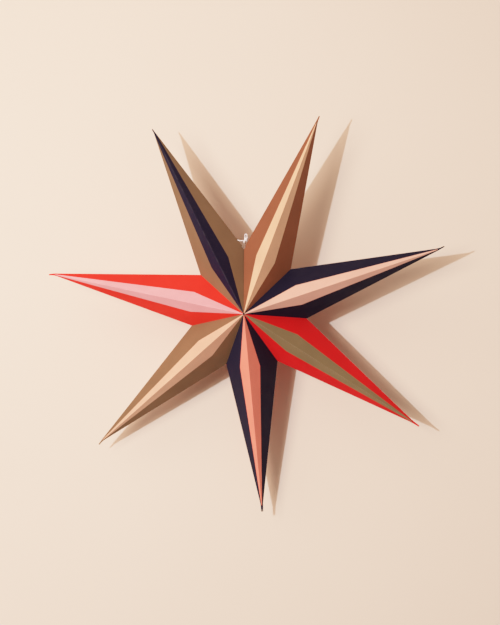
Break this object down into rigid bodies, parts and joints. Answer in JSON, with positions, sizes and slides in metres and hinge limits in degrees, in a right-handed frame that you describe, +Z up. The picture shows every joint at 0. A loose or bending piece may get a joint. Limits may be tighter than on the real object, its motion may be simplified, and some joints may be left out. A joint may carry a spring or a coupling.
{
  "type": "paper star lantern",
  "caption": "Folded card star lantern with hollow pointed arms in striped colours, closed by a tied seam and hung flat on a wall or in a window by its string loop.",
  "frame": {"origin": "the star's middle, on the axis through its front and back apexes and in the plane of its tips", "axes": "+Z up through the tied seam, the front faces -Y along the star's axis, +X to the right seen from the front"},
  "size_m": [0.5911, 0.1592, 0.5826],
  "materials": {
    "upper_right_card": "matte printed card",
    "right_card": "matte printed card",
    "lower_right_card": "matte printed card",
    "bottom_card": "matte printed card",
    "lower_left_card": "matte printed card",
    "left_card": "matte printed card",
    "upper_left_card": "matte printed card",
    "string": "twisted cotton"
  },
  "bodies": {
    "root": {"upper_right_point": "upper_right_card", "right_point": "right_card", "lower_right_point": "lower_right_card", "bottom_point": "bottom_card", "lower_left_point": "lower_left_card", "left_point": "left_card", "upper_left_point": "upper_left_card", "tie_string": "string", "tie_knot": "string"}
  },
  "joints": []
}
